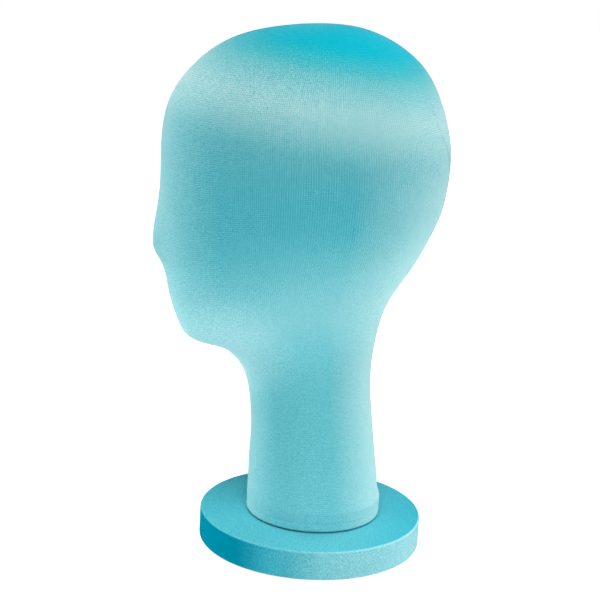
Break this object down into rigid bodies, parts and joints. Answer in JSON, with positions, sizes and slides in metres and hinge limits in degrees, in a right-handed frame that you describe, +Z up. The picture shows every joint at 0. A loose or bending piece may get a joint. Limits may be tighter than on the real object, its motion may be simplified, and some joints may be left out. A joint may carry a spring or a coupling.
{
  "type": "fabric-covered display head",
  "caption": "Abstract display head with a long neck, covered in stretch jersey, turning on a round covered base board, for showing caps, wigs and hats.",
  "frame": {"origin": "on the axis of the base's bolt, in the plane that the base pad rests on", "axes": "+Z up along the bolt's axis, -X the way the face looks, and the head is the same on both sides of the plane y = 0"},
  "size_m": [0.1988, 0.1556, 0.3624],
  "materials": {
    "jersey": "satin",
    "core_foam": "matte",
    "pad_foam": "matte",
    "fibreboard": "matte",
    "plywood": "matte",
    "beech": "satin",
    "zinc_steel": "satin",
    "staple_wire": "gloss",
    "glide_nylon": "matte"
  },
  "bodies": {
    "base": {"base_pad": "pad_foam", "base_staples": "staple_wire", "base_cover": "jersey", "base_board": "fibreboard", "flat_washer": "zinc_steel", "glide_washer": "glide_nylon"},
    "head": {"spring_washer": "zinc_steel", "clamp_bolt": "zinc_steel", "neck_board": "plywood", "tee_nut": "zinc_steel", "neck_dowel": "beech", "neck_staples": "staple_wire", "head_core": "core_foam", "head_cover": "jersey"}
  },
  "joints": [
    {"name": "head_turn", "type": "hinge", "parent": "base", "child": "head", "pos_m": [0, 0, 0.0211], "axis": [0, 0, 1], "continuous": true}
  ]
}
